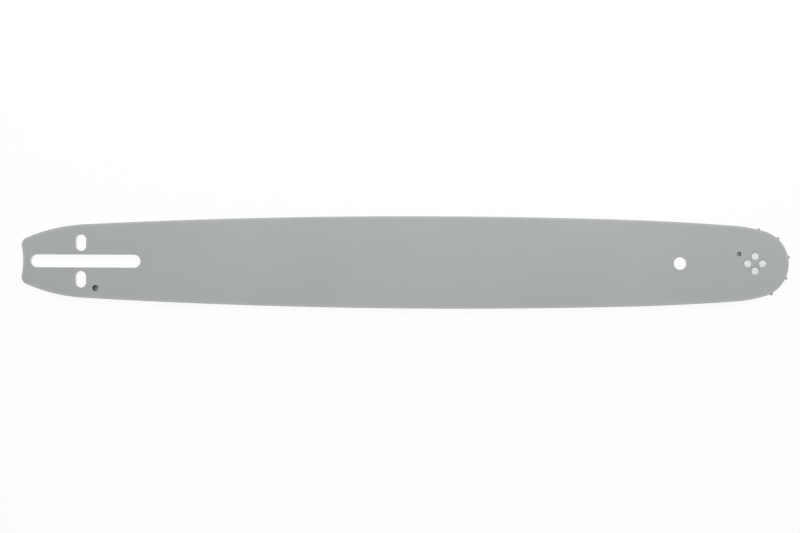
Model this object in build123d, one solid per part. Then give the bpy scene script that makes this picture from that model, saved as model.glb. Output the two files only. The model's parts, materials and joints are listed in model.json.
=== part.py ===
from build123d import *
import os
from math import acos, asin, cos, degrees, pi, radians, sin, sqrt

# Chainsaw guide bar: two side plates with a core plate between them, and a toothed nose wheel that
# turns on a ring of rollers. Millimetres. X runs along the bar from tail to nose, Y across it and Z
# through it. The origin is the middle of the bar stud slot, on the face that the bar lies on.

# Plates
bar_length = 563.8              # hollow of the tail end to the rail at the nose tip
bar_width = 68.0                # across the rails at the widest place
side_plate_thickness = 1.6
core_thickness = 1.5            # this is the width of the chain groove too
groove_depth = 7.8              # rail edge to core plate
rail_edge_radius = 0.4          # rounding along the outer edge of a side plate
hole_edge_break = 0.15          # bevel round a punched hole

# Nose outline
nose_radius = 24.9
nose_shoulder_length = 94.5     # nose axis back to the front end of the long rail
nose_shoulder_share = 0.78      # height of that end, from 0 at the nose radius to 1 at the half width
nose_lift_share = 0.187         # by the same measure, how far outside the nose the shoulder arc would pass
nose_blend_radius = 105.0       # arc between the shoulder and the nose
widest_from_nose = 236.3        # nose axis back to the widest place

# Tail outline
tail_taper = 6.95               # fall of each rail from the widest place to the tail shoulder
tail_shoulder_length = 44.5     # hollow of the tail end to the rear end of the long rail
tail_shoulder_radius = 121.7
tail_hollow_radius = 52.9
tail_corner_radius = 5.7
core_corner_radius = 1.5

# Holes at the tail
slot_length = 81.0
slot_width = 9.5
slot_from_tail = 5.4
tensioner_hole_from_tail = 42.5
tensioner_hole_width = 7.7
tensioner_hole_height = 12.2
tensioner_hole_web = 2.65       # metal between the slot and a tensioner hole
oil_hole_from_tail = 53.3
oil_hole_from_rail = 7.6
oil_hole_diameter = 4.6
oil_notch_radius = 3.2          # scoop in the core edge that lets the oil into the groove

# Holes at the nose
hanging_hole_from_nose = 55.1
hanging_hole_diameter = 9.3
grease_hole_angle = 149.2       # round the nose axis, over the ring of rollers
grease_hole_diameter = 3.2

# Nose sprocket
tooth_count = 10
tooth_projection = 1.5          # tooth tip outside the nose rail
tooth_height = 7.4
tooth_tip_width = 1.5
tooth_tip_rounding = 0.35
tooth_phase = 11.4              # angle of the first tooth from the bar's axis
gullet_radius = 3.6
sprocket_ring_wall = 3.7        # bottom of a gullet to the bore
side_clearance = 0.1            # each side of the sprocket and the rollers
pocket_clearance = 1.0          # tooth tips to the core plate

# Nose bearing
roller_count = 29
roller_gap = 0.06               # between neighbouring rollers
roller_edge_break = 0.2
bearing_clearance = 0.03        # roller to race, and roller to sprocket

# Nose rivets
rivet_count = 4
rivet_circle_radius = 5.45
rivet_shank_diameter = 4.0
rivet_head_diameter = 5.5
rivet_clearance = 0.03

# Places along the bar
half_width = bar_width / 2
tail_x = -slot_from_tail - slot_length / 2
nose_x = tail_x + bar_length - nose_radius
nose_axis = Vector(nose_x, 0)
bar_thickness = 2 * side_plate_thickness + core_thickness
middle_z = bar_thickness / 2

# Ends of the long rails on the +Y side, and the tangent arcs that carry the outline round to the ends
widest = Vector(nose_x - widest_from_nose, half_width)
rail_rear = Vector(tail_x + tail_shoulder_length, half_width - tail_taper)
rail_front = Vector(
    nose_x - nose_shoulder_length,
    nose_radius + nose_shoulder_share * (half_width - nose_radius),
)


def rail_centre(end):
    """Centre of the rail arc that is level at the widest place and passes through end."""
    run = end.X - widest.X
    fall = widest.Y - end.Y
    return widest - Vector(0, (run**2 + fall**2) / (2 * fall))


def upper_crossing(centre_a, radius_a, centre_b, radius_b):
    """Where two circles cross, on the +Y side."""
    line = centre_b - centre_a
    along = (line.length**2 + radius_a**2 - radius_b**2) / (2 * line.length)
    aside = sqrt(radius_a**2 - along**2)
    direction = line.normalized()
    square = Vector(-direction.Y, direction.X)
    if square.Y < 0:
        square = -square
    return centre_a + direction * along + square * aside


rear_centre = rail_centre(rail_rear)
front_centre = rail_centre(rail_front)
rear_normal = (rail_rear - rear_centre).normalized()
front_normal = (rail_front - front_centre).normalized()

front_reach = rail_front - nose_axis
lifted_radius = nose_radius + nose_lift_share * (half_width - nose_radius)
nose_shoulder_radius = (front_reach.length**2 - lifted_radius**2) / (
    2 * (front_reach.dot(front_normal) - lifted_radius)
)
nose_shoulder_centre = rail_front - front_normal * nose_shoulder_radius
nose_blend_centre = upper_crossing(
    nose_shoulder_centre,
    nose_shoulder_radius - nose_blend_radius,
    nose_axis,
    nose_blend_radius - nose_radius,
)
blend_normal = (nose_blend_centre - nose_shoulder_centre).normalized()
nose_normal = (nose_axis - nose_blend_centre).normalized()
tail_shoulder_centre = rail_rear - rear_normal * tail_shoulder_radius
tail_hollow_centre = Vector(tail_x - tail_hollow_radius, 0)

# Nose wheel and bearing, from the tooth tips inwards. The rollers fill their ring but for the gaps.
tip_radius = nose_radius + tooth_projection
root_radius = tip_radius - tooth_height
sprocket_bore_radius = root_radius - sprocket_ring_wall
roller_track_radius = sprocket_bore_radius - bearing_clearance
half_step = sin(pi / roller_count)
roller_diameter = (2 * roller_track_radius * half_step - roller_gap) / (1 + half_step)
roller_circle_radius = roller_track_radius - roller_diameter / 2
race_radius = roller_circle_radius - roller_diameter / 2 - bearing_clearance
running_thickness = core_thickness - 2 * side_clearance


def arc(start, end, centre):
    """The shorter arc between two points round a centre."""
    radius = (start - centre).length
    bulge = ((start - centre) + (end - centre)).normalized()
    return ThreePointArc(start, centre + bulge * radius, end)


def flipped(point):
    return Vector(point.X, -point.Y)


def plate_outline(inset, corner_radius):
    """Outline of a plate whose rails lie inset from the bar's rails, with the same tail end."""
    shoulder_radius = tail_shoulder_radius - inset
    corner = upper_crossing(
        tail_shoulder_centre,
        shoulder_radius - corner_radius,
        tail_hollow_centre,
        tail_hollow_radius + corner_radius,
    )
    nose_end = nose_axis + nose_normal * (nose_radius - inset)
    blend_end = nose_shoulder_centre + blend_normal * (nose_shoulder_radius - inset)
    front = rail_front - front_normal * inset
    middle = widest - Vector(0, inset)
    rear = rail_rear - rear_normal * inset
    corner_start = tail_shoulder_centre + (corner - tail_shoulder_centre).normalized() * shoulder_radius
    corner_end = tail_hollow_centre + (corner - tail_hollow_centre).normalized() * tail_hollow_radius
    rail_arcs = [
        (nose_end, blend_end, nose_blend_centre),
        (blend_end, front, nose_shoulder_centre),
        (front, middle, front_centre),
        (middle, rear, rear_centre),
        (rear, corner_start, tail_shoulder_centre),
        (corner_start, corner_end, corner),
    ]
    edges = [
        arc(flipped(nose_end), nose_end, nose_axis),
        arc(corner_end, flipped(corner_end), tail_hollow_centre),
    ]
    for start, end, centre in rail_arcs:
        edges.append(arc(start, end, centre))
        edges.append(arc(flipped(start), flipped(end), flipped(centre)))
    return make_face(edges)


def tail_holes():
    """Bar stud slot and the two tensioner holes, punched through all three plates."""
    hole_x = tail_x + tensioner_hole_from_tail
    hole_y = slot_width / 2 + tensioner_hole_web + tensioner_hole_height / 2
    tensioner_hole = SlotOverall(tensioner_hole_height, tensioner_hole_width, rotation=90)
    slot = SlotOverall(slot_length, slot_width)
    return slot + Pos(hole_x, hole_y) * tensioner_hole + Pos(hole_x, -hole_y) * tensioner_hole


def hanging_hole():
    return Pos(nose_x - hanging_hole_from_nose, 0) * Circle(hanging_hole_diameter / 2)


def oil_hole_place():
    """Centre of the oil hole on the +Y side, a set depth inside the long rail."""
    x = tail_x + oil_hole_from_tail
    rail_radius = widest.Y - rear_centre.Y
    rail_y = rear_centre.Y + sqrt(rail_radius**2 - (x - rear_centre.X) ** 2)
    return Vector(x, rail_y - oil_hole_from_rail)


def grease_hole():
    angle = radians(grease_hole_angle)
    place = nose_axis + Vector(cos(angle), sin(angle)) * roller_circle_radius
    return Pos(place.X, place.Y) * Circle(grease_hole_diameter / 2)


def rivet_places():
    return Pos(nose_x, 0) * PolarLocations(rivet_circle_radius, rivet_count)


def rivet(clearance):
    """A rivet through the bar about its middle plane, or with a clearance the hole for it."""
    shank_radius = rivet_shank_diameter / 2 + clearance
    head_radius = rivet_head_diameter / 2 + clearance
    head_depth = head_radius - shank_radius
    head = Pos(0, 0, middle_z - head_depth / 2) * Cone(shank_radius, head_radius, head_depth)
    shank = Cylinder(shank_radius, bar_thickness)
    return shank + head + Rot(180, 0, 0) * head


def side_plate():
    """The side plate above the core, about the bar's middle plane. The lower one is it turned over."""
    oil_hole = Pos(flipped(oil_hole_place())) * Circle(oil_hole_diameter / 2)
    sheet = plate_outline(0, tail_corner_radius)
    sheet -= tail_holes() + hanging_hole() + oil_hole + grease_hole()
    plate = Pos(0, 0, core_thickness / 2) * extrude(sheet, side_plate_thickness)
    outer_face = plate.faces().sort_by(Axis.Z)[-1]
    plate = chamfer([edge for hole in outer_face.inner_wires() for edge in hole.edges()], hole_edge_break)
    outer_face = plate.faces().sort_by(Axis.Z)[-1]
    plate = fillet(outer_face.outer_wire().edges(), rail_edge_radius)
    return plate - [place * rivet(rivet_clearance) for place in rivet_places()]


def core_plate():
    """The core between the side plates: its edge is the bottom of the chain groove."""
    sheet = plate_outline(groove_depth, core_corner_radius)
    sheet -= tail_holes() + hanging_hole()
    sheet -= Pos(nose_x, 0) * Circle(tip_radius + pocket_clearance)
    for oil_place in (oil_hole_place(), flipped(oil_hole_place())):
        sheet -= Pos(oil_place) * Circle(oil_notch_radius)
    return extrude(sheet, core_thickness / 2, both=True)


def tooth_gullet():
    """The gap between two teeth, on the X axis: a round bottom with straight flanks to the tooth tips."""
    half_angle = pi / tooth_count - asin(tooth_tip_width / 2 / tip_radius)
    tip_corner = Vector(cos(half_angle), sin(half_angle)) * tip_radius
    centre = Vector(root_radius + gullet_radius, 0)
    to_corner = tip_corner - centre
    turn = Vector(1, 0).get_signed_angle(to_corner) + degrees(acos(gullet_radius / to_corner.length))
    flank_foot = centre + Vector(gullet_radius, 0).rotate(Axis.Z, turn)
    # The flanks run on past the tip corners, so that the gap is open
    flank_end = tip_corner + (tip_corner - flank_foot).normalized() * tooth_projection
    flanks = Polyline(flank_foot, flank_end, flipped(flank_end), flipped(flank_foot))
    bottom = ThreePointArc(flipped(flank_foot), (root_radius, 0), flank_foot)
    return make_face(flanks.edges() + [bottom])


def nose_sprocket():
    """The nose wheel about its own axis, with its first tooth on the X axis."""
    wheel = Circle(tip_radius) - Circle(sprocket_bore_radius)
    wheel -= PolarLocations(0, tooth_count, start_angle=180 / tooth_count) * tooth_gullet()
    tip_corners = wheel.vertices().group_by(SortBy.DISTANCE)[-1]
    wheel = fillet(tip_corners, tooth_tip_rounding)
    return extrude(wheel, running_thickness / 2, both=True)


def bearing_race():
    """The inner ring of the bearing, riveted between the side plates."""
    ring = Pos(nose_x, 0) * Circle(race_radius)
    ring -= rivet_places() * Circle(rivet_shank_diameter / 2 + rivet_clearance)
    return extrude(ring, core_thickness / 2, both=True)


def bearing_roller():
    roller = Cylinder(roller_diameter / 2, running_thickness)
    return chamfer(roller.edges().filter_by(GeomType.CIRCLE), roller_edge_break)


# Pieces, each at its place about the middle plane
upper_plate = side_plate()
pieces = {
    "upper_side_plate": upper_plate,
    "lower_side_plate": Rot(180, 0, 0) * upper_plate,
    "core_plate": core_plate(),
    "nose_sprocket": Pos(nose_x, 0) * Rot(0, 0, tooth_phase) * nose_sprocket(),
    "bearing_race": bearing_race(),
    "nose_rivets": Compound([place * rivet(0) for place in rivet_places()]),
}
roller_places = Pos(nose_x, 0) * PolarLocations(roller_circle_radius, roller_count)
for number, place in enumerate(roller_places, 1):
    pieces[f"bearing_roller_{number:02d}"] = place * bearing_roller()

os.makedirs("parts", exist_ok=True)
for name, piece in pieces.items():
    export_step(Pos(0, 0, middle_z) * piece, f"parts/{name}.step")
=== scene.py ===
import json
from math import acos, asin, atan2, ceil, cos, pi, radians, sin, sqrt
from typing import NamedTuple

import bmesh
import bpy
from bpy.props import FloatProperty, FloatVectorProperty, IntProperty, PointerProperty
from mathutils import Matrix, Vector

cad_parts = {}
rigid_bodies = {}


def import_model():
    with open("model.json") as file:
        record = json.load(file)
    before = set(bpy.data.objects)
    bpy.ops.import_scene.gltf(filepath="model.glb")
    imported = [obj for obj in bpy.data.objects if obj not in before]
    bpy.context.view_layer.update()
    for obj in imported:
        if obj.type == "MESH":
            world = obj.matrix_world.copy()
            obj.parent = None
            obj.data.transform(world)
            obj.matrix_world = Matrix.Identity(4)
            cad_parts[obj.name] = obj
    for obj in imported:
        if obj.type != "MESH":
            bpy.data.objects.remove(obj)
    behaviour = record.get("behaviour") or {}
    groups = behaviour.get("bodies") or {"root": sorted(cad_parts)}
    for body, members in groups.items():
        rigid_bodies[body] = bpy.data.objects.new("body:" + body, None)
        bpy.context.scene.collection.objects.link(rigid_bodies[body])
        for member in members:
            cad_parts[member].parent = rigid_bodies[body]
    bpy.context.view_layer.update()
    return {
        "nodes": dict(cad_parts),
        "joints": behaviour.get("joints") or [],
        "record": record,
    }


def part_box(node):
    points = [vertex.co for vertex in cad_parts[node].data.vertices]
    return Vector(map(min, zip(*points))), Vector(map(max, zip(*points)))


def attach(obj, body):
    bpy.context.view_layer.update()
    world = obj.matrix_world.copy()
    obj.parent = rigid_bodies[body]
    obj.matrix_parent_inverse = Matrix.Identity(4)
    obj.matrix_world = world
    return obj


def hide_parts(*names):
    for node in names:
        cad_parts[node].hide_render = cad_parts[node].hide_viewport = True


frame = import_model()

bl_info = {
    "name": "Chainsaw Guide Bar",
    "version": (1, 0, 0),
    "blender": (4, 5, 0),
    "location": "3D View > Sidebar > Guide Bar",
    "description": "Models the painted plates, nose wheel, bearing and rivets of a chainsaw guide bar",
    "category": "Object",
}

# What the frame gives: the box of the solids, the mounts, the nose axis and the levels of the plates
MM = 0.001
MOUNTS = {mount["name"]: mount for mount in frame["record"]["mounts"]}
JOINTS = {joint["name"]: joint for joint in frame["joints"]}
NOSE = Vector(JOINTS["sprocket_spin"]["pos_m"])
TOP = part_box("upper_side_plate")[1].z
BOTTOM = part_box("lower_side_plate")[0].z
CORE_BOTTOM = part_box("core_plate")[0].z
CORE_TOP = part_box("core_plate")[1].z
SPROCKET_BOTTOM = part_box("nose_sprocket")[0].z
SPROCKET_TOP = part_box("nose_sprocket")[1].z
ROLLERS = sorted(name for name in frame["nodes"] if name.startswith("bearing_roller"))
BEARING_NODES = ["bearing_race", *ROLLERS]

# How finely the shapes are drawn
ARC_STEP = radians(2.5)
LEAST_STEPS = 12
HOLE_SIDES = 64
JOIN_DISTANCE = 0.02 * MM
CUT_JOIN_DISTANCE = JOIN_DISTANCE / 10
SEED_SIZE = 1 * MM
CUT_MARGIN = 1 * MM
LEVEL_TOLERANCE = 0.01 * MM
RAIL_EDGE_STEPS = 4
TIP_STEPS = 5
COUNTERSINK_STEPS = 1
EDGE_BREAK_STEPS = 2
SMOOTH_ANGLE = radians(32)
FACE_WEIGHT = 100

# How faces and corners are told apart: by how far a normal points up, or the angle between two normals
LEVEL_FACE = 0.999
FLAT_FACE = 0.99
WALL_FACE = 0.1
PAINTED_FACE = 0.15
INNER_FACE = -0.9
TIP_CORNER = radians(20)

# At this share of its radius a rivet's head has fallen by this share of its crown
CROWN_REACH = 0.6
CROWN_FALL = 0.3

# The picture's frame, in pixels
PICTURE_WIDTH = 800

# Attribute of a side plate's points: 1 along the rails, 0 inside the band beside them
RAIL_MARK = "rail_edge"

# Softbox from the middle of the view: a little towards the nose, beyond the far rail and up
SOFTBOX_OFFSET = Vector((0.03, 0.38, 0.45))

# The floor's own white, and the white that is seen behind the bar
FLOOR_WHITE = (0.95, 0.95, 0.95, 1)
FULL_WHITE = (1, 1, 1, 1)

# Painted shade and highlight: a rivet's dark joint is shifted this way, towards the tail and the far rail,
# where a sunk head's rim would shade it, and its ring of paint worn thin the other way as a painted
# highlight
SHADE_SIDE_SHIFT = Vector((-0.10, 0.18, 0)) * MM

# Bands from a rivet's rim outwards in millimetres: the dark joint with its painted shade, and the paint
# worn thin by grinding with its painted highlight
JOINT_SHADE_BAND = (0.15, 0.85)
JOINT_SHADE_STRENGTH = 0.8
JOINT_SHADE_RAGGED = 0.5
THINNED_LIT_BAND = (0.6, 1.5)
THINNED_LIT_STRENGTH = 0.3

# A mark is full inside the first share of its radius, less the ragged edge, and gone at the second
MARK_BAND = (-0.5, 0.8)

# Range that a noise mostly keeps to
NOISE_RANGE = (0.3, 0.7)

# Patterns of the paint: noise scales, the ranges that show, and how strongly
RAGGED_SCALE = 700
RAGGED_DETAIL = 3
MOTTLE_SCALE = 14
SPECKLE_SCALE = 3000
SPECKLE_RANGE = (0.35, 0.65)
SPECKLE_STRENGTH = 0.6
SCUFF_LINE_SCALE = (14, 1500, 1)
SCUFF_TURN = radians(1.5)
SCUFF_LINE_RANGE = (0.64, 0.76)
SCUFF_PATCH_SCALE = 22
SCUFF_PATCH_RANGE = (0.45, 0.7)
SCUFF_STRENGTH = 0.3
SCUFF_GLOSS = 0.12
SCUFF_DEPTH = 0.4
PATCHY_RANGE = (0.2, 0.7)
PATCHY_LEAST = 0.5
THIN_STRENGTH = 0.55
BARE_RAGGED = 0.3
BARE_RANGE = (0.75, 1.05)
MARKED_RANGE = (0.2, 0.6)
GLOSS_SCALE = 60
GLOSS_RANGE = (0.44, 0.52)
PEEL_SCALE = 2400
PEEL_BUMP = 0.4
PEEL_DEPTH = 0.06 * MM

# Patterns of bare steel: blotches, the film of oil or grease on it, and the relief of its lines
BLOTCH_SCALE = 650
BLOTCH_RANGE = (0.4, 0.7)
BLOTCH_STRENGTH = 0.5
FILM_SCALE = 240
FILM_RANGE = (0.25, 0.6)
ROUGHNESS_SWING = 0.06
LINE_BUMP = 0.15
LINE_DEPTH = 0.01 * MM

# How much of the steel a film covers
CORE_OIL = 0.6
SPROCKET_OIL = 0.2
BEARING_GREASE = 0.95


class SteelGrain(NamedTuple):
    """Lines left by rolling or grinding: scales along the axes, contrast, and the roughness"""

    line_scale: tuple
    contrast: float
    roughness: float


RAIL_GRAIN = SteelGrain((40, 40, 2500), 0.12, 0.42)
PUNCHED_GRAIN = SteelGrain((2600, 2600, 150), 0.2, 0.3)
PUNCHED_CORE_GRAIN = SteelGrain((90, 90, 1800), 0.1, 0.4)
INNER_GRAIN = SteelGrain((60, 900, 60), 0.2, 0.5)
CORE_GRAIN = SteelGrain((30, 30, 2200), 0.14, 0.48)
SPROCKET_GRAIN = SteelGrain((900, 900, 900), 0.12, 0.42)
RIVET_GRAIN = SteelGrain((500, 5200, 700), 0.2, 0.7)
BEARING_GRAIN = SteelGrain((600, 600, 600), 0.1, 0.3)


def mount_size(name, key):
    """A size of a mount in metres."""
    return MOUNTS[name]["dims"][key] * MM


def mount_place(name):
    """Where a mount is."""
    return Vector(MOUNTS[name]["pos_m"])


class FaceMark(NamedTuple):
    """A spot of rust, dirt or oil on a face, or of painted shade or light, with its offset and radius in
    millimetres
    """

    origin: Vector
    offset: tuple
    radius: float
    strength: float
    colour: str


NOSE_CENTRE = NOSE.to_2d()
SLOT_CENTRE = mount_place("bar_stud_slot").to_2d()
OIL_HOLE = mount_place("oil_inlet_upper").to_2d()
OIL_INLETS = ("oil_inlet_upper", "oil_inlet_lower")
UPPER_PORTS = ("oil_inlet_upper", "grease_port_upper")
FACE_MARKS = (
    FaceMark(NOSE_CENTRE, (1.2, -2.4), 2.8, 0.20, "rust"),
    FaceMark(NOSE_CENTRE, (2.4, -1.9), 1.0, 0.16, "rust"),
    # The next three marks are painted shade: a dark arc along the upper side of the lower rivet
    FaceMark(NOSE_CENTRE, (-2.1, -1.9), 0.5, 0.34, "grime_and_shade"),
    FaceMark(NOSE_CENTRE, (-1.0, -1.9), 0.5, 0.38, "grime_and_shade"),
    FaceMark(NOSE_CENTRE, (0.1, -1.8), 0.5, 0.34, "grime_and_shade"),
    FaceMark(NOSE_CENTRE, (2.8, -3.6), 0.7, 0.50, "grime_and_shade"),
    FaceMark(NOSE_CENTRE, (-4.7, 5.9), 0.6, 0.50, "grime_and_shade"),
    FaceMark(NOSE_CENTRE, (-4.4, -5.9), 0.6, 0.55, "grime_and_shade"),
    FaceMark(SLOT_CENTRE, (-7.0, 6.4), 3.5, 0.16, "rust"),
    FaceMark(SLOT_CENTRE, (-12.0, -7.2), 6.0, 0.14, "rust"),
)

# Under the oil hole: painted shade on the tail side in the oil's colour, and a painted pool of light on
# the other side in the rails' steel colour
OIL_HOLE_SHADE_AND_LIGHT = (
    FaceMark(OIL_HOLE, (-2.4, 1.2), 2.4, 1.0, "oil"),
    FaceMark(OIL_HOLE, (1.2, -1.0), 1.6, 0.55, "rail_steel_and_lit_patch"),
)


def length(name, description, default):
    """A length that a user can set."""
    return FloatProperty(
        name=name, description=description, default=default, min=0, unit="LENGTH", precision=5
    )


def colour(name, description, default):
    """A colour that a user can set."""
    return FloatVectorProperty(
        name=name, description=description, default=default, size=3, min=0, max=1, subtype="COLOR"
    )


def share(name, description, default):
    """A number from 0 to 1 that a user can set."""
    return FloatProperty(
        name=name, description=description, default=default, min=0, max=1, subtype="FACTOR"
    )


class GuideBarPlates(bpy.types.PropertyGroup):
    """Sizes of the side plates and the core plate"""

    bar_width: length(
        "Bar Width",
        "Across the rails at the widest place",
        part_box("upper_side_plate")[1].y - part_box("upper_side_plate")[0].y,
    )
    widest_from_nose: length("Widest Place", "Nose axis back to the widest place", 236.3 * MM)
    nose_radius: length("Nose Radius", "Radius of the rails round the nose", 24.9 * MM)
    nose_shoulder_length: length("Nose Shoulder", "Nose axis back to the end of the long rail", 94.5 * MM)
    nose_shoulder_share: share(
        "Nose Shoulder Height",
        "End of the long rail, from 0 at the nose radius to 1 at half the width",
        0.78,
    )
    nose_lift_share: share(
        "Nose Shoulder Lift",
        "How far outside the nose the shoulder's arc would pass, by that measure",
        0.187,
    )
    nose_blend_radius: length("Nose Blend Radius", "Radius between the shoulder and the nose", 105.0 * MM)
    tail_taper: length(
        "Tail Taper", "Fall of a rail from the widest place to the tail shoulder", 6.95 * MM
    )
    tail_shoulder_length: length("Tail Shoulder", "Tail end to the rear end of the long rail", 44.5 * MM)
    tail_shoulder_radius: length("Tail Shoulder Radius", "Radius of the rail at the tail", 121.7 * MM)
    tail_hollow_radius: length("Tail Hollow Radius", "Radius of the hollow tail end", 52.9 * MM)
    tail_corner_radius: length("Tail Corner Radius", "Rounding of the side plates' tail corners", 5.7 * MM)
    core_corner_radius: length("Core Corner Radius", "Rounding of the core's tail corners", 1.5 * MM)
    groove_depth: length("Groove Depth", "Rail edge to the core plate", 7.8 * MM)
    rail_band: length("Rail Band", "Band along the rails where the paint is thin", 2.0 * MM)
    rail_edge_radius: length("Rail Edge Radius", "Rounding along a side plate's outer edge", 0.4 * MM)
    hole_edge_break: length("Hole Edge Break", "Bevel round a punched hole", 0.15 * MM)
    slot_from_tail: length("Slot From Tail", "Metal between the slot and the tail end", 5.4 * MM)
    oil_notch_radius: length("Oil Notch Radius", "Scoop in the core beside an oil hole", 3.2 * MM)
    pocket_radius: length("Sprocket Pocket Radius", "Room in the core for the nose sprocket", 27.4 * MM)


class GuideBarNose(bpy.types.PropertyGroup):
    """Sizes of the nose sprocket and the rivets"""

    tooth_count: IntProperty(
        name="Teeth", description="Teeth of the nose sprocket", default=10, min=5, max=16
    )
    tooth_phase: FloatProperty(
        name="Tooth Phase",
        description="Angle of the first tooth from the bar's axis",
        default=radians(11.4),
        subtype="ANGLE",
    )
    tip_radius: length("Tip Radius", "Nose axis to the tooth tips", 26.4 * MM)
    tip_width: length("Tip Width", "Width of a tooth at its tip", 1.5 * MM)
    tip_rounding: length("Tip Rounding", "Rounding of the tooth tips", 0.35 * MM)
    tooth_height: length("Tooth Height", "Tooth tip to the bottom of a gullet", 7.4 * MM)
    gullet_radius: length("Gullet Radius", "Rounding at the bottom of a gullet", 3.6 * MM)
    ring_wall: length("Ring Wall", "Bottom of a gullet to the bore", 3.7 * MM)
    sprocket_edge_break: length("Sprocket Edge Break", "Rounding along the sprocket's edges", 0.1 * MM)
    rivet_count: IntProperty(name="Rivets", description="Rivets in the nose", default=4, min=3, max=8)
    rivet_circle_radius: length("Rivet Circle Radius", "Nose axis to a rivet's axis", 5.45 * MM)
    rivet_head_radius: length("Rivet Head Radius", "Radius of a rivet's flush head", 2.75 * MM)
    rivet_shank_radius: length("Rivet Shank Radius", "Radius of a rivet's shank", 2.0 * MM)
    rivet_clearance: length("Rivet Clearance", "Gap between a rivet and its hole", 0.03 * MM)
    rivet_edge_break: length("Rivet Edge Break", "Rounding at the rim of a rivet's head", 0.15 * MM)
    rivet_crown: length("Rivet Crown", "Rise of a rivet's head from rim to middle", 0.05 * MM)


class GuideBarFinish(bpy.types.PropertyGroup):
    """Colours of the paint and the metals"""

    paint: colour("Paint", "Satin grey paint on the side plates", (0.392, 0.417, 0.407))
    paint_shade: colour("Paint Shade", "Darker patches in the paint", (0.372, 0.397, 0.388))
    # Also the painted highlight on one side of each rivet head
    thin_paint_and_highlight: colour("Thin Paint", "Paint worn thin by the rails and the rivets", (0.508, 0.508, 0.505))
    rust: colour("Rust", "Faint rust bloom beside the rivets and the slot", (0.33, 0.27, 0.18))
    # Also the painted shade round the rivet heads: the shifted side of their dark joints and the dark arc
    # above the lower rivet
    grime_and_shade: colour("Grime", "Dark dirt round the rivet heads", (0.16, 0.165, 0.16))
    # Also the painted pool of light under the oil hole
    rail_steel_and_lit_patch: colour("Rail Steel", "Hardened steel of the rails", (0.40, 0.40, 0.395))
    punched_steel: colour("Punched Steel", "Bright steel of the side plates' holes", (0.88, 0.88, 0.87))
    # Darker than the side plates' holes, as painted shade on the core's hole walls
    punched_core_shaded: colour("Punched Core", "Duller steel of the core plate's holes", (0.50, 0.50, 0.49))
    inner_steel: colour("Inner Steel", "Dark rolled steel inside the bar", (0.163, 0.169, 0.167))
    core_steel: colour("Core Steel", "Rolled steel of the core plate", (0.40, 0.40, 0.39))
    sprocket_steel: colour("Sprocket Steel", "Hardened steel of the nose sprocket", (0.345, 0.35, 0.348))
    rivet_steel: colour("Rivet Steel", "Ground steel of the rivet heads", (0.565, 0.583, 0.574))
    bearing_steel: colour("Bearing Steel", "Ground steel of the race and the rollers", (0.55, 0.55, 0.54))
    # Also the painted shade under the oil hole, on its tail side
    oil: colour("Oil", "Film of oil in the groove and on the sprocket", (0.10, 0.10, 0.09))
    grease: colour("Grease", "Film of grease on the bearing", (0.260, 0.272, 0.266))


class GuideBarStage(bpy.types.PropertyGroup):
    """Camera, floor and light"""

    camera_height: length("Camera Height", "Camera above the bar's upper face", 1.24)
    view_x: FloatProperty(
        name="View X",
        description="Place along the bar in the middle of the picture",
        default=231.6 * MM,
        unit="LENGTH",
    )
    view_y: FloatProperty(
        name="View Y",
        description="Place across the bar in the middle of the picture",
        default=-3.1 * MM,
        unit="LENGTH",
    )
    pixel_size: length("Pixel Size", "Length on the bar's upper face that one pixel shows", 0.7362 * MM)
    camera_roll: FloatProperty(
        name="Camera Roll",
        description="Turn of the camera about its axis",
        default=radians(0.24),
        subtype="ANGLE",
    )
    floor_size: length("Floor Size", "Side of the floor", 12.0)
    floor_glow: share("Floor Glow", "Share of the floor's white that shadow doesn't reach", 0.93)
    sky_light: share("Sky Light", "Strength of the light from all round", 0.37)
    softbox_length: length("Softbox Length", "Length of the strip softbox along the bar", 1.2)
    softbox_width: length("Softbox Width", "Width of the strip softbox", 0.6)
    softbox_power: FloatProperty(
        name="Softbox Power", description="Power of the softbox", default=4.63, min=0, unit="POWER"
    )


# Drawing outlines in edit mode


def clear_selection():
    """Leaves edit mode and deselects everything."""
    if bpy.context.mode != "OBJECT":
        bpy.ops.object.mode_set(mode="OBJECT")
    bpy.ops.object.select_all(action="DESELECT")


def select_only(piece):
    """Selects one object and makes it the active one."""
    clear_selection()
    bpy.context.view_layer.objects.active = piece
    piece.select_set(True)


def new_drawing(name):
    """An empty mesh at the origin, open in edit mode."""
    clear_selection()
    bpy.ops.mesh.primitive_plane_add(size=SEED_SIZE, location=(0, 0, 0))
    piece = bpy.context.object
    piece.name = name
    piece.data.name = name
    bpy.ops.object.mode_set(mode="EDIT")
    bpy.ops.mesh.select_mode(type="VERT")
    bpy.ops.mesh.select_all(action="SELECT")
    bpy.ops.mesh.delete(type="VERT")
    return piece


def start_line(place):
    """Puts down one point, which the next lines and arcs draw on from."""
    bpy.ops.mesh.primitive_plane_add(size=SEED_SIZE, location=place)
    bpy.ops.mesh.merge(type="CENTER")


def draw_line(step):
    """Draws on by a straight step."""
    bpy.ops.mesh.extrude_vertices_move(TRANSFORM_OT_translate={"value": step.to_3d()})


def draw_arc(centre, turn, level):
    """Draws on round a centre. Spin turns the other way from the angle that it is given."""
    steps = max(LEAST_STEPS, ceil(abs(turn) / ARC_STEP))
    bpy.ops.mesh.spin(steps=steps, angle=-turn, center=(centre.x, centre.y, level), axis=(0, 0, 1))


def turn_between(start, end, centre):
    """Angle from one point to another round a centre, the short way."""
    a = start - centre
    b = end - centre
    return atan2(a.x * b.y - a.y * b.x, a.dot(b))


def fill_line():
    """Closes the line that was drawn last and fills it with one face."""
    bpy.ops.mesh.select_linked()
    bpy.ops.mesh.remove_doubles(threshold=JOIN_DISTANCE)
    bpy.ops.mesh.select_linked()
    bpy.ops.mesh.edge_face_add()


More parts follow.
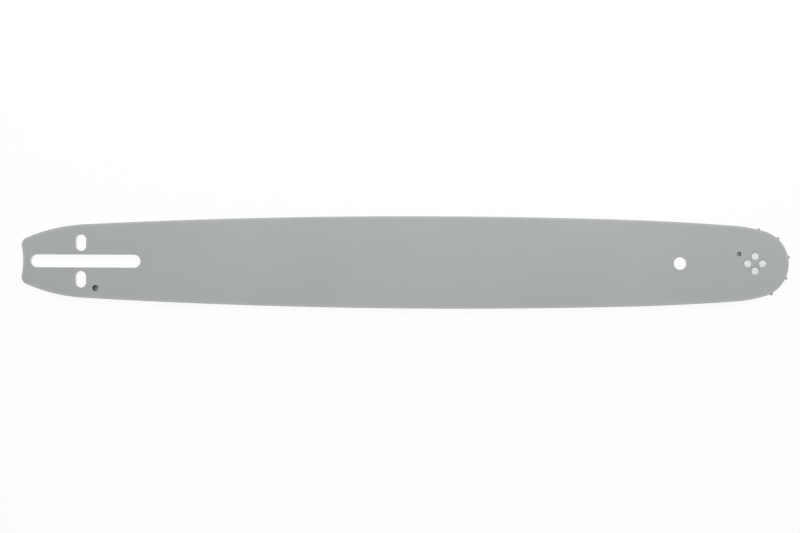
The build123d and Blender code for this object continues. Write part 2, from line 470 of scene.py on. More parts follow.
def raise_faces(height):
    """Makes a solid of each face that is drawn."""
    bpy.ops.mesh.select_all(action="SELECT")
    bpy.ops.mesh.extrude_region_move(TRANSFORM_OT_translate={"value": (0, 0, height)})
    bpy.ops.mesh.select_all(action="SELECT")
    bpy.ops.mesh.normals_make_consistent(inside=False)


def round_edges(piece, chosen, width, segments):
    """Bevels the edges that a test picks by their place or their faces' normals."""
    bpy.ops.mesh.select_mode(type="EDGE")
    bpy.ops.mesh.select_all(action="DESELECT")
    mesh = bmesh.from_edit_mesh(piece.data)
    picked = [edge for edge in mesh.edges if chosen(edge)]
    if not picked:
        raise RuntimeError(f"no edge to round on {piece.name}")
    for edge in picked:
        edge.select_set(True)
    bmesh.update_edit_mesh(piece.data)
    bpy.ops.mesh.bevel(offset_type="OFFSET", offset=width, segments=segments, affect="EDGES")


def at_level(edge, level):
    """True if both ends of an edge are at a level."""
    return all(abs(point.co.z - level) < LEVEL_TOLERANCE for point in edge.verts)


def is_upright(edge):
    """True if an edge stands straight up."""
    a, b = edge.verts
    return (a.co - b.co).to_2d().length < LEVEL_TOLERANCE


def between_flat_and_wall(edge):
    """True along the rim of a hole: one face lies flat and the other stands upright."""
    slopes = sorted(abs(face.normal.z) for face in edge.link_faces)
    return len(slopes) == 2 and slopes[0] < WALL_FACE and slopes[1] > FLAT_FACE


def distance_from(edge, place):
    """Distance on the bar's face from the middle of an edge to a place."""
    return ((edge.verts[0].co + edge.verts[1].co) / 2 - place).to_2d().length


# Outlines of the plates


def level_rail_centre(widest, end):
    """Centre of the rail arc that is level at the widest place and passes through end."""
    run = end.x - widest.x
    fall = widest.y - end.y
    return widest - Vector((0, (run**2 + fall**2) / (2 * fall)))


def upper_crossing(centre_a, radius_a, centre_b, radius_b):
    """Where two circles cross, on the +Y side."""
    line = centre_b - centre_a
    along = (line.length**2 + radius_a**2 - radius_b**2) / (2 * line.length)
    direction = line.normalized()
    square = Vector((-direction.y, direction.x))
    if square.y < 0:
        square = -square
    return centre_a + direction * along + square * sqrt(radius_a**2 - along**2)


def half_outline(plates, inset, corner_radius):
    """Start of a plate's outline at the nose tip, and its arcs' ends and centres on the +Y side."""
    half_width = plates.bar_width / 2
    nose = NOSE_CENTRE
    tail_x = -plates.slot_from_tail - mount_size("bar_stud_slot", "slot_length_mm") / 2
    widest = Vector((nose.x - plates.widest_from_nose, half_width))
    rear = Vector((tail_x + plates.tail_shoulder_length, half_width - plates.tail_taper))
    front_height = plates.nose_radius + plates.nose_shoulder_share * (half_width - plates.nose_radius)
    front = Vector((nose.x - plates.nose_shoulder_length, front_height))
    rear_centre = level_rail_centre(widest, rear)
    front_centre = level_rail_centre(widest, front)
    rear_normal = (rear - rear_centre).normalized()
    front_normal = (front - front_centre).normalized()

    reach = front - nose
    lifted_radius = plates.nose_radius + plates.nose_lift_share * (half_width - plates.nose_radius)
    nose_shoulder_radius = (reach.length**2 - lifted_radius**2) / (
        2 * (reach.dot(front_normal) - lifted_radius)
    )
    nose_shoulder_centre = front - front_normal * nose_shoulder_radius
    nose_blend_centre = upper_crossing(
        nose_shoulder_centre,
        nose_shoulder_radius - plates.nose_blend_radius,
        nose,
        plates.nose_blend_radius - plates.nose_radius,
    )
    blend_normal = (nose_blend_centre - nose_shoulder_centre).normalized()
    nose_normal = (nose - nose_blend_centre).normalized()

    tail_shoulder_centre = rear - rear_normal * plates.tail_shoulder_radius
    tail_hollow_centre = Vector((tail_x - plates.tail_hollow_radius, 0))
    shoulder_radius = plates.tail_shoulder_radius - inset
    corner = upper_crossing(
        tail_shoulder_centre,
        shoulder_radius - corner_radius,
        tail_hollow_centre,
        plates.tail_hollow_radius + corner_radius,
    )
    shoulder_normal = (corner - tail_shoulder_centre).normalized()
    hollow_normal = (corner - tail_hollow_centre).normalized()
    corner_start = tail_shoulder_centre + shoulder_normal * shoulder_radius
    corner_end = tail_hollow_centre + hollow_normal * plates.tail_hollow_radius
    start = nose + Vector((plates.nose_radius - inset, 0))
    arcs = [
        (nose + nose_normal * (plates.nose_radius - inset), nose),
        (nose_shoulder_centre + blend_normal * (nose_shoulder_radius - inset), nose_blend_centre),
        (front - front_normal * inset, nose_shoulder_centre),
        (widest - Vector((0, inset)), front_centre),
        (rear - rear_normal * inset, rear_centre),
        (corner_start, tail_shoulder_centre),
        (corner_end, corner),
        (Vector((tail_x, 0)), tail_hollow_centre),
    ]
    return start, arcs


def draw_plate(plates, inset, corner_radius, bottom, top):
    """Draws half the outline, mirrors it across the bar's axis, fills it and raises it."""
    start, arcs = half_outline(plates, inset, corner_radius)
    start_line((start.x, start.y, bottom))
    for end, centre in arcs:
        draw_arc(centre, turn_between(start, end, centre), bottom)
        start = end
    bpy.ops.mesh.select_all(action="SELECT")
    bpy.ops.mesh.duplicate()
    bpy.ops.transform.resize(value=(1, -1, 1), center_override=(0, 0, 0))
    bpy.ops.mesh.select_all(action="SELECT")
    fill_line()
    raise_faces(top - bottom)


def draw_slot(centre, slot_length, width, upright, level):
    """Draws and fills a hole with round ends, lying along the bar or standing across it."""
    radius = width / 2
    half_run = (slot_length - width) / 2
    along = Vector((0, 1)) if upright else Vector((1, 0))
    across = Vector((-along.y, along.x))
    start = centre - along * half_run - across * radius
    start_line((start.x, start.y, level))
    draw_line(along * 2 * half_run)
    draw_arc(centre + along * half_run, pi, level)
    draw_line(along * -2 * half_run)
    draw_arc(centre - along * half_run, pi, level)
    fill_line()


def draw_round(centre, radius, level, sides=HOLE_SIDES):
    """Draws and fills a round hole."""
    bpy.ops.mesh.primitive_circle_add(
        vertices=sides, radius=radius, fill_type="NGON", location=(centre.x, centre.y, level)
    )


def draw_tail_holes(level):
    """Bar stud slot and the two tensioner holes."""
    slot = "bar_stud_slot"
    width = 2 * mount_size(slot, "hole_r_mm")
    draw_slot(SLOT_CENTRE, mount_size(slot, "slot_length_mm"), width, False, level)
    tensioner = "tensioner_holes"
    width = 2 * mount_size(tensioner, "hole_r_mm")
    middle = mount_place(tensioner).to_2d()
    offset = Vector((0, mount_size(tensioner, "spacing_y_mm") / 2))
    for centre in (middle + offset, middle - offset):
        draw_slot(centre, mount_size(tensioner, "slot_length_mm"), width, True, level)


def rivet_places(nose):
    """Axes of the rivets at the bar's middle."""
    turns = [2 * pi * number / nose.rivet_count for number in range(nose.rivet_count)]
    return [NOSE + Vector((cos(turn), sin(turn), 0)) * nose.rivet_circle_radius for turn in turns]


def finish_rounds(cutter, finishes, rounds):
    """Gives a cutter two finishes: the second for the walls of the rounds, the first for the rest."""
    bpy.ops.object.mode_set(mode="OBJECT")
    for material in finishes:
        cutter.data.materials.append(material)
    for face in cutter.data.polygons:
        for place, radius in rounds:
            if (face.center - place).to_2d().length < radius + LEVEL_TOLERANCE:
                face.material_index = 1


def cut_away(piece, cutter):
    """Takes the cutter's shape and finishes out of the piece, and deletes the cutter."""
    select_only(piece)
    bpy.ops.object.modifier_add(type="BOOLEAN")
    modifier = piece.modifiers[-1]
    modifier.operation = "DIFFERENCE"
    modifier.solver = "EXACT"
    modifier.material_mode = "TRANSFER" if cutter.data.materials else "INDEX"
    modifier.object = cutter
    bpy.ops.object.modifier_apply(modifier=modifier.name)
    select_only(cutter)
    bpy.ops.object.delete()
    select_only(piece)
    bpy.ops.object.mode_set(mode="EDIT")
    bpy.ops.mesh.select_mode(type="VERT")
    bpy.ops.mesh.select_all(action="SELECT")
    bpy.ops.mesh.remove_doubles(threshold=CUT_JOIN_DISTANCE)


def smooth(piece):
    """Shades the rounded edges smooth and keeps the flats flat."""
    select_only(piece)
    bpy.ops.object.shade_smooth_by_angle(angle=SMOOTH_ANGLE)
    bpy.ops.object.modifier_add(type="WEIGHTED_NORMAL")
    modifier = piece.modifiers[-1]
    modifier.keep_sharp = True
    modifier.weight = FACE_WEIGHT
    bpy.ops.object.modifier_apply(modifier=modifier.name)


def place_in_frame(piece, body, slot, *nodes):
    """The piece moves with its body and stands for its solids."""
    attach(piece, body)
    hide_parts(*nodes)


# Finishes


def new_finish(name):
    """A new material, its node tree, its shader and the object's own coordinates."""
    material = bpy.data.materials.new(name)
    material.use_nodes = True
    tree = material.node_tree
    return material, tree, tree.nodes["Principled BSDF"], tree.nodes.new("ShaderNodeTexCoord").outputs


def add_node(tree, kind, inputs, **settings):
    """Adds a node with its settings, and links or sets its inputs."""
    node = tree.nodes.new(kind)
    for name, value in settings.items():
        setattr(node, name, value)
    for name, value in inputs.items():
        if isinstance(value, bpy.types.NodeSocket):
            tree.links.new(value, node.inputs[name])
        else:
            node.inputs[name].default_value = value
    return node


def noise(tree, place, scale, detail):
    """A noise over coordinates."""
    inputs = {"Vector": place, "Scale": scale, "Detail": detail}
    return add_node(tree, "ShaderNodeTexNoise", inputs).outputs["Fac"]


def stretched(tree, place, scale, turn=0.0):
    """Coordinates stretched, so that a noise on them makes lines."""
    return add_node(
        tree, "ShaderNodeMapping", {"Vector": place, "Rotation": (0, 0, turn), "Scale": scale}
    ).outputs["Vector"]


def spread(tree, value, low, high, to_low=0.0, to_high=1.0):
    """Maps a range of a value to another range, smoothly and with ends."""
    inputs = {"Value": value, "From Min": low, "From Max": high, "To Min": to_low, "To Max": to_high}
    node = add_node(tree, "ShaderNodeMapRange", inputs, interpolation_type="SMOOTHSTEP")
    return node.outputs["Result"]


def calculate(tree, operation, a, b=0.0):
    """Works out one value from one or two."""
    return add_node(tree, "ShaderNodeMath", {0: a, 1: b}, operation=operation).outputs["Value"]


def blend(tree, factor, a, b):
    """Mixes two colours."""
    colours = [side if isinstance(side, bpy.types.NodeSocket) else (*side, 1.0) for side in (a, b)]
    node = add_node(tree, "ShaderNodeMix", {0: factor, 6: colours[0], 7: colours[1]}, data_type="RGBA")
    return node.outputs[2]


def flat_place(tree, place):
    """Coordinates on the bar's face, in millimetres."""
    inputs = {0: place, 1: (1 / MM, 1 / MM, 0)}
    return add_node(tree, "ShaderNodeVectorMath", inputs, operation="MULTIPLY").outputs["Vector"]


def distance_on_face(tree, flat, centre):
    """Distance in millimetres from a point on the bar's face."""
    inputs = {0: flat, 1: (centre.x / MM, centre.y / MM, 0)}
    return add_node(tree, "ShaderNodeVectorMath", inputs, operation="DISTANCE").outputs["Value"]


def set_bump(tree, shader, height, strength, distance):
    """Gives a shader the relief of a height."""
    inputs = {"Height": height, "Strength": strength, "Distance": distance}
    bump = add_node(tree, "ShaderNodeBump", inputs)
    tree.links.new(bump.outputs["Normal"], shader.inputs["Normal"])


def add_marks(tree, tint, flat, ragged, marks, finish, cover=1.0):
    """Rust, dirt or oil on a face, or painted shade or light: soft spots with ragged edges."""
    full, gone = MARK_BAND
    for mark in marks:
        distance = distance_on_face(tree, flat, mark.origin + Vector(mark.offset) * MM)
        edge = calculate(tree, "SUBTRACT", distance, calculate(tree, "MULTIPLY", ragged, mark.radius))
        spot = spread(tree, edge, full * mark.radius, gone * mark.radius, mark.strength, 0.0)
        spot = calculate(tree, "MULTIPLY", spot, cover)
        tint = blend(tree, spot, tint, getattr(finish, mark.colour))
    return tint


def ring_rivets(tree, tint, flat, ragged, nose, finish):
    """Round each rivet a dark joint with painted shade on one side, and outside it paint that the grinding
    wheel wore thin, with a painted highlight on the other side.
    """
    rim = nose.rivet_head_radius / MM
    thinned_lit_band = [rim + step for step in THINNED_LIT_BAND]
    joint_shade_band = [rim + step for step in JOINT_SHADE_BAND]
    for place in rivet_places(nose):
        # Paint worn thin round the rivet, shifted to one side as a painted highlight
        thinned_and_lit = calculate(tree, "ADD", distance_on_face(tree, flat, place - SHADE_SIDE_SHIFT), ragged)
        thinned_and_lit = spread(tree, thinned_and_lit, *thinned_lit_band, THINNED_LIT_STRENGTH, 0.0)
        tint = blend(tree, thinned_and_lit, tint, finish.thin_paint_and_highlight)
        # The dark joint, shifted to the other side as painted shade
        joint = distance_on_face(tree, flat, place + SHADE_SIDE_SHIFT)
        joint = calculate(tree, "ADD", joint, calculate(tree, "MULTIPLY", ragged, JOINT_SHADE_RAGGED))
        joint = spread(tree, joint, *joint_shade_band, JOINT_SHADE_STRENGTH, 0.0)
        tint = blend(tree, joint, tint, finish.grime_and_shade)
    return tint


def satin_paint(finish, nose):
    """Satin grey paint: faintly mottled and scuffed, thin at the rails and bare on their rounding."""
    material, tree, shader, coordinates = new_finish("satin_grey_paint")
    place = coordinates["Object"]
    flat = flat_place(tree, place)
    ragged = noise(tree, place, RAGGED_SCALE, RAGGED_DETAIL)
    facing = add_node(tree, "ShaderNodeSeparateXYZ", {"Vector": coordinates["Normal"]}).outputs["Z"]

    mottle = spread(tree, noise(tree, place, MOTTLE_SCALE, 3), *NOISE_RANGE)
    tint = blend(tree, mottle, finish.paint_shade, finish.paint)
    speckle = noise(tree, place, SPECKLE_SCALE, 2)
    speckle = spread(tree, speckle, *SPECKLE_RANGE, 0.0, SPECKLE_STRENGTH)
    tint = blend(tree, speckle, tint, finish.paint_shade)
    hairlines = noise(tree, stretched(tree, place, SCUFF_LINE_SCALE, SCUFF_TURN), 1, 4)
    scuffed = spread(tree, noise(tree, place, SCUFF_PATCH_SCALE, 1), *SCUFF_PATCH_RANGE)
    scuff = calculate(tree, "MULTIPLY", spread(tree, hairlines, *SCUFF_LINE_RANGE), scuffed)
    tint = blend(tree, calculate(tree, "MULTIPLY", scuff, SCUFF_STRENGTH), tint, finish.thin_paint_and_highlight)

    # Round the rivets: dark joints with painted shade, and paint worn thin with a painted highlight
    tint = ring_rivets(tree, tint, flat, ragged, nose, finish)
    on_upper_face = spread(tree, facing, *MARKED_RANGE)
    tint = add_marks(tree, tint, flat, ragged, FACE_MARKS, finish, on_upper_face)

    rail = add_node(tree, "ShaderNodeAttribute", {}, attribute_name=RAIL_MARK).outputs["Fac"]
    patchy = spread(tree, ragged, *PATCHY_RANGE, PATCHY_LEAST, 1.0)
    thin = calculate(tree, "MULTIPLY", spread(tree, rail, 0.0, 1.0), patchy)
    tint = blend(tree, calculate(tree, "MULTIPLY", thin, THIN_STRENGTH), tint, finish.thin_paint_and_highlight)
    slope = calculate(tree, "ABSOLUTE", facing)
    slope = calculate(tree, "ADD", slope, calculate(tree, "MULTIPLY", ragged, BARE_RAGGED))
    bare = spread(tree, slope, *BARE_RANGE, 1.0, 0.0)
    tint = blend(tree, bare, tint, finish.rail_steel_and_lit_patch)
    tree.links.new(tint, shader.inputs["Base Color"])
    tree.links.new(bare, shader.inputs["Metallic"])

    gloss = spread(tree, noise(tree, place, GLOSS_SCALE, 3), *NOISE_RANGE, *GLOSS_RANGE)
    gloss = calculate(tree, "SUBTRACT", gloss, calculate(tree, "MULTIPLY", scuff, SCUFF_GLOSS))
    tree.links.new(gloss, shader.inputs["Roughness"])
    peel = noise(tree, place, PEEL_SCALE, 2)
    peel = calculate(tree, "SUBTRACT", peel, calculate(tree, "MULTIPLY", scuff, SCUFF_DEPTH))
    set_bump(tree, shader, peel, PEEL_BUMP, PEEL_DEPTH)
    return material


def bare_steel(name, tone, grain, film=None, cover=0.0):
    """Bare steel with the lines of its rolling or grinding, under a film if one is given."""
    material, tree, shader, coordinates = new_finish(name)
    place = coordinates["Object"]
    lines = noise(tree, stretched(tree, place, grain.line_scale), 1, 4)
    light = [min(1.0, channel * (1 + grain.contrast)) for channel in tone]
    dark = [channel * (1 - grain.contrast) for channel in tone]
    tint = blend(tree, spread(tree, lines, *NOISE_RANGE), dark, light)
    blotches = spread(tree, noise(tree, place, BLOTCH_SCALE, 3), *BLOTCH_RANGE, 0.0, BLOTCH_STRENGTH)
    tint = blend(tree, blotches, tint, dark)
    if film:
        wet = spread(tree, noise(tree, place, FILM_SCALE, 4), *FILM_RANGE, cover / 2, cover)
        tint = blend(tree, wet, tint, film)
        tree.links.new(calculate(tree, "SUBTRACT", 1.0, wet), shader.inputs["Metallic"])
    else:
        shader.inputs["Metallic"].default_value = 1.0
    tree.links.new(tint, shader.inputs["Base Color"])
    smoothest = grain.roughness - ROUGHNESS_SWING
    roughest = grain.roughness + ROUGHNESS_SWING
    rough = spread(tree, lines, *NOISE_RANGE, smoothest, roughest)
    tree.links.new(rough, shader.inputs["Roughness"])
    set_bump(tree, shader, lines, LINE_BUMP, LINE_DEPTH)
    return material


def inner_steel(finish):
    """Dark rolled steel inside the bar, with painted shade on the tail side under the oil hole and a
    painted pool of light on the other side.
    """
    material = bare_steel("inner_steel", finish.inner_steel, INNER_GRAIN)
    tree = material.node_tree
    colour_socket = tree.nodes["Principled BSDF"].inputs["Base Color"]
    place = tree.nodes.new("ShaderNodeTexCoord").outputs["Object"]
    flat = flat_place(tree, place)
    ragged = noise(tree, place, RAGGED_SCALE, RAGGED_DETAIL)
    clean = colour_socket.links[0].from_socket
    tree.links.new(add_marks(tree, clean, flat, ragged, OIL_HOLE_SHADE_AND_LIGHT, finish), colour_socket)
    return material


# The pieces


class GUIDEBAR_OT_side_plates(bpy.types.Operator):
    """Model the upper side plate, punch its holes, and turn a copy over for the lower one"""

    bl_idname = "guidebar.side_plates"
    bl_label = "Side Plates"

    def execute(self, context):
        plates = context.scene.guide_bar_plates
        nose = context.scene.guide_bar_nose
        finish = context.scene.guide_bar_finish
        inner = inner_steel(finish)
        plate = new_drawing("side_plate_upper")
        draw_plate(plates, 0, plates.tail_corner_radius, CORE_TOP, TOP)
        round_edges(
            plate, lambda edge: at_level(edge, TOP), plates.rail_edge_radius, RAIL_EDGE_STEPS
        )
        self.mark_rails(plate, plates.rail_band)
        plate.data.materials.append(bare_steel("rail_steel_and_lit_patch", finish.rail_steel_and_lit_patch, RAIL_GRAIN))
        cut_away(plate, self.hole_cutter(nose, finish, inner))
        self.break_hole_edges(plate, plates, nose)
        self.paint_outside(plate, satin_paint(finish, nose), inner)

        select_only(plate)
        bpy.ops.object.duplicate()
        turned = context.object
        turned.name = "side_plate_lower"
        turned.data.name = "side_plate_lower"
        bpy.ops.object.mode_set(mode="EDIT")
        bpy.ops.mesh.select_all(action="SELECT")
        bpy.ops.transform.rotate(value=pi, orient_axis="X", center_override=(0, 0, (TOP + BOTTOM) / 2))
        for piece, node in ((plate, "upper_side_plate"), (turned, "lower_side_plate")):
            smooth(piece)
            place_in_frame(piece, "bar", "side_plate_paint", node)
        return {"FINISHED"}

    def mark_rails(self, plate, band):
        """Insets the outer face, and marks the points outside the inset as lying along the rails."""
        bpy.ops.mesh.select_mode(type="FACE")
        bpy.ops.mesh.select_all(action="DESELECT")
        mesh = bmesh.from_edit_mesh(plate.data)
        for face in mesh.faces:
            face.select_set(face.normal.z > LEVEL_FACE)
        bmesh.update_edit_mesh(plate.data)
        bpy.ops.mesh.inset(thickness=band)
        mesh = bmesh.from_edit_mesh(plate.data)
        mark = mesh.verts.layers.float.new(RAIL_MARK)
        for point in mesh.verts:
            point[mark] = 0.0 if point.select else 1.0
        bmesh.update_edit_mesh(plate.data)

    def hole_cutter(self, nose, finish, inner):
        """All the holes of a side plate: bright, or dark where oil or grease goes in."""
        bright = bare_steel("punched_steel", finish.punched_steel, PUNCHED_GRAIN)
        level = CORE_TOP - CUT_MARGIN
        cutter = new_drawing("side_plate_cutter")
        draw_tail_holes(level)
        draw_round(mount_place("hanging_hole"), mount_size("hanging_hole", "r_mm"), level)
        for place in rivet_places(nose):
            draw_round(place, nose.rivet_shank_radius + nose.rivet_clearance, level)
        ports = [(mount_place(name), mount_size(name, "r_mm")) for name in UPPER_PORTS]
        for place, radius in ports:
            draw_round(place, radius, level)
        raise_faces(TOP + CUT_MARGIN - level)
        finish_rounds(cutter, (bright, inner), ports)
        return cutter

    def break_hole_edges(self, plate, plates, nose):
        """Countersinks the rivet holes and bevels the other holes a little."""
        reach = nose.rivet_shank_radius + 2 * nose.rivet_clearance
        countersink = nose.rivet_head_radius - nose.rivet_shank_radius

        def at_rivet(edge):
            return any(distance_from(edge, place) < reach for place in rivet_places(nose))

        def at_hole_rim(edge):
            return at_level(edge, TOP) and between_flat_and_wall(edge)

        def at_rivet_rim(edge):
            return at_hole_rim(edge) and at_rivet(edge)

        round_edges(plate, at_rivet_rim, countersink, COUNTERSINK_STEPS)
        round_edges(plate, at_hole_rim, plates.hole_edge_break, EDGE_BREAK_STEPS)

    def paint_outside(self, plate, paint, inner):
        """Paint on the outer face and its rounded edge, and dark steel on the inner face."""
        bpy.ops.object.mode_set(mode="OBJECT")
        slots = plate.data.materials
        slots.append(paint)
        for face in plate.data.polygons:
            if face.normal.z > PAINTED_FACE:
                face.material_index = slots.find(paint.name)
            elif face.normal.z < INNER_FACE:
                face.material_index = slots.find(inner.name)


class GUIDEBAR_OT_core_plate(bpy.types.Operator):
    """Model the core plate, whose edge is the bottom of the chain groove"""

    bl_idname = "guidebar.core_plate"
    bl_label = "Core Plate"

    def execute(self, context):
        plates = context.scene.guide_bar_plates
        finish = context.scene.guide_bar_finish
        steel = bare_steel("core_steel", finish.core_steel, CORE_GRAIN, finish.oil, CORE_OIL)
        # The core's hole walls get the darker steel as painted shade
        punched = bare_steel("punched_core_shaded", finish.punched_core_shaded, PUNCHED_CORE_GRAIN)
        core = new_drawing("groove_core")
        draw_plate(plates, plates.groove_depth, plates.core_corner_radius, CORE_BOTTOM, CORE_TOP)
        core.data.materials.append(steel)
        level = CORE_BOTTOM - CUT_MARGIN
        cutter = new_drawing("core_cutter")
        draw_tail_holes(level)
        draw_round(mount_place("hanging_hole"), mount_size("hanging_hole", "r_mm"), level)
        oiled = [(mount_place(name), plates.oil_notch_radius) for name in OIL_INLETS]
        oiled.append((NOSE, plates.pocket_radius))
        for place, radius in oiled:
            draw_round(place, radius, level)
        raise_faces(CORE_TOP + CUT_MARGIN - level)
        finish_rounds(cutter, (punched, steel), oiled)
        cut_away(core, cutter)
        smooth(core)
        place_in_frame(core, "bar", "core_steel", "core_plate")
        return {"FINISHED"}


class GUIDEBAR_OT_nose_sprocket(bpy.types.Operator):
    """Model the toothed wheel that turns in the nose"""

    bl_idname = "guidebar.nose_sprocket"
    bl_label = "Nose Sprocket"

    def execute(self, context):
        nose = context.scene.guide_bar_nose
        finish = context.scene.guide_bar_finish
        wheel = new_drawing("nose_star_wheel")
        self.draw_teeth(nose)
        raise_faces(SPROCKET_TOP - SPROCKET_BOTTOM)
        near_tip = nose.tip_radius - JOIN_DISTANCE
        round_edges(
            wheel, lambda edge: self.is_tip_corner(edge, near_tip), nose.tip_rounding, TIP_STEPS
        )
        bore = nose.tip_radius - nose.tooth_height - nose.ring_wall
        cutter = new_drawing("bore_cutter")
        draw_round(NOSE, bore, SPROCKET_BOTTOM - CUT_MARGIN, 2 * HOLE_SIDES)
        raise_faces(SPROCKET_TOP - SPROCKET_BOTTOM + 2 * CUT_MARGIN)
        cut_away(wheel, cutter)
        round_edges(wheel, between_flat_and_wall, nose.sprocket_edge_break, EDGE_BREAK_STEPS)
        bpy.ops.object.mode_set(mode="OBJECT")
        steel = bare_steel(
            "sprocket_steel", finish.sprocket_steel, SPROCKET_GRAIN, finish.oil, SPROCKET_OIL
        )
        wheel.data.materials.append(steel)
        smooth(wheel)
        place_in_frame(wheel, "sprocket", "sprocket_steel", "nose_sprocket")
        return {"FINISHED"}

    def is_tip_corner(self, edge, near_tip):
        """True for an upright edge where a flank meets the tip, and not within the tip's own arc."""
        if not is_upright(edge) or distance_from(edge, NOSE) <= near_tip:
            return False
        first, second = edge.link_faces
        return first.normal.angle(second.normal) > TIP_CORNER

    def draw_teeth(self, nose):
        """Draws half a gullet, a flank, a tip, a flank and half a gullet, and copies that round."""
        pitch = 2 * pi / nose.tooth_count
        root = nose.tip_radius - nose.tooth_height
        half_tip = asin(nose.tip_width / 2 / nose.tip_radius)
        corner_angle = pitch / 2 - half_tip
        corner = Vector((cos(corner_angle), sin(corner_angle))) * nose.tip_radius
        centre = Vector((root + nose.gullet_radius, 0))
        to_corner = corner - centre
        foot_angle = atan2(to_corner.y, to_corner.x) + acos(nose.gullet_radius / to_corner.length)
        foot = centre + Vector((cos(foot_angle), sin(foot_angle))) * nose.gullet_radius
        gullet_turn = foot_angle - pi

        def placed(point, angle):
            return NOSE_CENTRE + Matrix.Rotation(angle, 2) @ point

        before = nose.tooth_phase - pitch / 2
        after = nose.tooth_phase + pitch / 2
        start = placed(Vector((root, 0)), before)
        far_foot = placed(Vector((foot.x, -foot.y)), after)
        far_corner = placed(Vector((corner.x, -corner.y)), after)
        start_line((start.x, start.y, SPROCKET_BOTTOM))
        draw_arc(placed(centre, before), gullet_turn, SPROCKET_BOTTOM)
        draw_line(placed(corner, before) - placed(foot, before))
        draw_arc(NOSE, 2 * half_tip, SPROCKET_BOTTOM)
        draw_line(far_foot - far_corner)
        draw_arc(placed(centre, after), gullet_turn, SPROCKET_BOTTOM)
        bpy.ops.mesh.select_linked()
        bpy.ops.mesh.spin(steps=nose.tooth_count, dupli=True, angle=2 * pi, center=NOSE, axis=(0, 0, 1))
        bpy.ops.mesh.select_all(action="SELECT")
        fill_line()


class GUIDEBAR_OT_nose_rivets(bpy.types.Operator):
    """Turn one flush rivet and copy it round the nose axis"""

    bl_idname = "guidebar.nose_rivets"
    bl_label = "Nose Rivets"

    def execute(self, context):
        nose = context.scene.guide_bar_nose
        finish = context.scene.guide_bar_finish
        rivets = new_drawing("rivet_set")
        places = rivet_places(nose)
        self.turn_rivet(nose, places[0])
        for place, next_place in zip(places, places[1:]):
            bpy.ops.mesh.duplicate()
            bpy.ops.transform.translate(value=next_place - place)
        bpy.ops.object.mode_set(mode="OBJECT")
        rivets.data.materials.append(bare_steel("rivet_steel", finish.rivet_steel, RIVET_GRAIN))
        smooth(rivets)
        place_in_frame(rivets, "bar", "rivet_steel", "nose_rivets")
        return {"FINISHED"}

    def turn_rivet(self, nose, place):
        """Draws half a rivet's section from top middle to bottom middle, and spins it round."""
        rim = TOP - nose.rivet_crown
        head_depth = nose.rivet_head_radius - nose.rivet_shank_radius
        upper = [
            (0, TOP),
            (CROWN_REACH * nose.rivet_head_radius, TOP - CROWN_FALL * nose.rivet_crown),
            (nose.rivet_head_radius - nose.rivet_edge_break, rim),
            (nose.rivet_head_radius, rim - nose.rivet_edge_break),
            (nose.rivet_shank_radius, TOP - head_depth - nose.rivet_edge_break),
        ]
        section = upper + [(radius, TOP + BOTTOM - height) for radius, height in reversed(upper)]
        start_line((place.x, place.y, TOP))
        for (radius, height), (next_radius, next_height) in zip(section, section[1:]):
            draw_line(Vector((next_radius - radius, 0, next_height - height)))
        bpy.ops.mesh.select_linked()
        bpy.ops.mesh.spin(steps=HOLE_SIDES, angle=2 * pi, center=place, axis=(0, 0, 1))
        bpy.ops.mesh.select_linked()
        bpy.ops.mesh.remove_doubles(threshold=JOIN_DISTANCE)
        bpy.ops.mesh.select_linked()
        bpy.ops.mesh.normals_make_consistent(inside=False)


class GUIDEBAR_OT_nose_bearing(bpy.types.Operator):
    """Give the race and the rollers their greased steel"""

    bl_idname = "guidebar.nose_bearing"
    bl_label = "Nose Bearing"

    def execute(self, context):
        finish = context.scene.guide_bar_finish
        steel = bare_steel(
            "bearing_steel", finish.bearing_steel, BEARING_GRAIN, finish.grease, BEARING_GREASE
        )
        for name in BEARING_NODES:
            mesh = frame["nodes"][name].data
            mesh.materials.clear()
            mesh.materials.append(steel)
        return {"FINISHED"}


# The stage


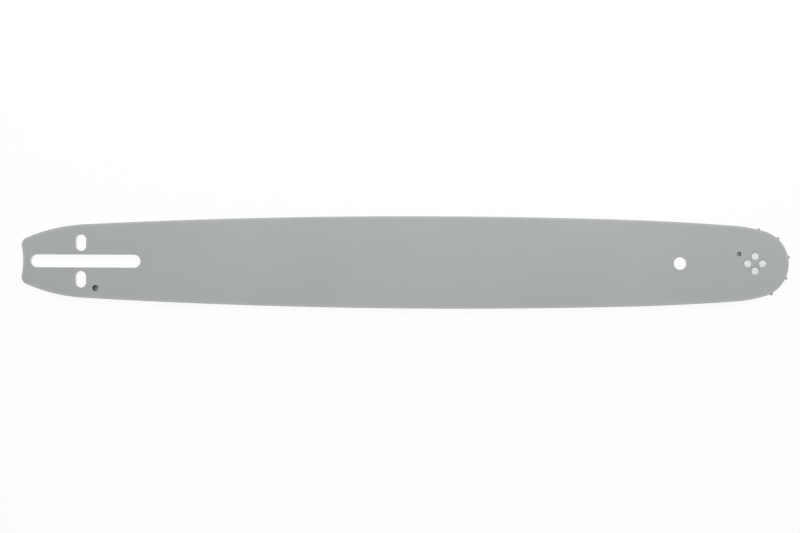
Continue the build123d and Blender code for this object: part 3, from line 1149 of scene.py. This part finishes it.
class GUIDEBAR_OT_stage(bpy.types.Operator):
    """Lay the white floor, light it softly and hang the camera over the bar"""

    bl_idname = "guidebar.stage"
    bl_label = "Stage"

    def execute(self, context):
        stage = context.scene.guide_bar_stage
        context.scene.view_settings.view_transform = "Standard"
        self.lay_floor(stage)
        self.light_sky(context.scene, stage)
        self.hang_softbox(stage)
        self.hang_camera(context.scene, stage)
        return {"FINISHED"}

    def lay_floor(self, stage):
        """A floor that looks white and keeps a faint shadow."""
        clear_selection()
        bpy.ops.mesh.primitive_plane_add(size=stage.floor_size, location=(0, 0, 0))
        floor = bpy.context.object
        floor.name = "white_floor"
        bpy.ops.object.mode_set(mode="EDIT")
        bpy.ops.transform.translate(value=(stage.view_x, stage.view_y, BOTTOM - LEVEL_TOLERANCE))
        bpy.ops.object.mode_set(mode="OBJECT")
        material = bpy.data.materials.new("white_floor")
        material.use_nodes = True
        tree = material.node_tree
        tree.nodes.remove(tree.nodes["Principled BSDF"])
        matte = add_node(tree, "ShaderNodeBsdfDiffuse", {"Color": FLOOR_WHITE})
        glow = add_node(tree, "ShaderNodeEmission", {"Color": FULL_WHITE, "Strength": 1.0})
        seen = calculate(tree, "MULTIPLY", self.seen_directly(tree), stage.floor_glow)
        sides = {0: seen, 1: matte.outputs["BSDF"], 2: glow.outputs["Emission"]}
        mixed = add_node(tree, "ShaderNodeMixShader", sides)
        tree.links.new(mixed.outputs["Shader"], tree.nodes["Material Output"].inputs["Surface"])
        floor.data.materials.append(material)

    def seen_directly(self, tree):
        """1 for rays that come from the camera or from a mirror or glass, 0 for light on its way."""
        path = tree.nodes.new("ShaderNodeLightPath").outputs
        straight = calculate(tree, "MAXIMUM", path["Is Camera Ray"], path["Is Glossy Ray"])
        return calculate(tree, "MAXIMUM", straight, path["Is Transmission Ray"])

    def light_sky(self, scene, stage):
        """White all round to look at, and a softer light from it."""
        world = bpy.data.worlds.new("white_sky")
        world.use_nodes = True
        tree = world.node_tree
        strength = spread(tree, self.seen_directly(tree), 0, 1, stage.sky_light, 1.0)
        background = tree.nodes["Background"]
        background.inputs["Color"].default_value = FULL_WHITE
        tree.links.new(strength, background.inputs["Strength"])
        scene.world = world

    def hang_softbox(self, stage):
        """A softbox beyond the bar's far rail."""
        target = Vector((stage.view_x, stage.view_y, TOP))
        place = target + SOFTBOX_OFFSET
        aim = (target - place).to_track_quat("-Z", "Y").to_euler()
        bpy.ops.object.light_add(type="AREA", location=place, rotation=aim)
        softbox = bpy.context.object
        softbox.name = "softbox"
        softbox.data.shape = "RECTANGLE"
        softbox.data.size = stage.softbox_length
        softbox.data.size_y = stage.softbox_width
        softbox.data.energy = stage.softbox_power

    def hang_camera(self, scene, stage):
        """Straight above the bar, with a lens that shows the photograph's field."""
        place = (stage.view_x, stage.view_y, TOP + stage.camera_height)
        bpy.ops.object.camera_add(location=place, rotation=(0, 0, stage.camera_roll))
        camera = bpy.context.object
        camera.name = "camera_above"
        camera.data.sensor_fit = "HORIZONTAL"
        field = PICTURE_WIDTH * stage.pixel_size
        camera.data.lens = camera.data.sensor_width * stage.camera_height / field
        scene.camera = camera


# What the add-on registers

SETTINGS = {
    "guide_bar_plates": GuideBarPlates,
    "guide_bar_nose": GuideBarNose,
    "guide_bar_finish": GuideBarFinish,
    "guide_bar_stage": GuideBarStage,
}
OPERATORS = (
    GUIDEBAR_OT_side_plates,
    GUIDEBAR_OT_core_plate,
    GUIDEBAR_OT_nose_sprocket,
    GUIDEBAR_OT_nose_rivets,
    GUIDEBAR_OT_nose_bearing,
    GUIDEBAR_OT_stage,
)


class GUIDEBAR_PT_sidebar(bpy.types.Panel):
    """Settings and pieces of the guide bar"""

    bl_idname = "GUIDEBAR_PT_sidebar"
    bl_label = "Guide Bar"
    bl_space_type = "VIEW_3D"
    bl_region_type = "UI"
    bl_category = "Guide Bar"

    def draw(self, context):
        for operator in OPERATORS:
            self.layout.operator(operator.bl_idname)
        for group in SETTINGS:
            settings = getattr(context.scene, group)
            box = self.layout.box()
            for name in settings.__annotations__:
                box.prop(settings, name)


def register():
    """Registers the settings, the operators and the panel."""
    for kind in (*SETTINGS.values(), *OPERATORS, GUIDEBAR_PT_sidebar):
        bpy.utils.register_class(kind)
    for name, group in SETTINGS.items():
        setattr(bpy.types.Scene, name, PointerProperty(type=group))


def unregister():
    """Takes away what register added."""
    for name in SETTINGS:
        delattr(bpy.types.Scene, name)
    for kind in (GUIDEBAR_PT_sidebar, *OPERATORS, *SETTINGS.values()):
        bpy.utils.unregister_class(kind)


def main():
    """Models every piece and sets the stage."""
    register()
    bpy.ops.guidebar.side_plates()
    bpy.ops.guidebar.core_plate()
    bpy.ops.guidebar.nose_sprocket()
    bpy.ops.guidebar.nose_rivets()
    bpy.ops.guidebar.nose_bearing()
    bpy.ops.guidebar.stage()


if __name__ == "__main__":
    main()
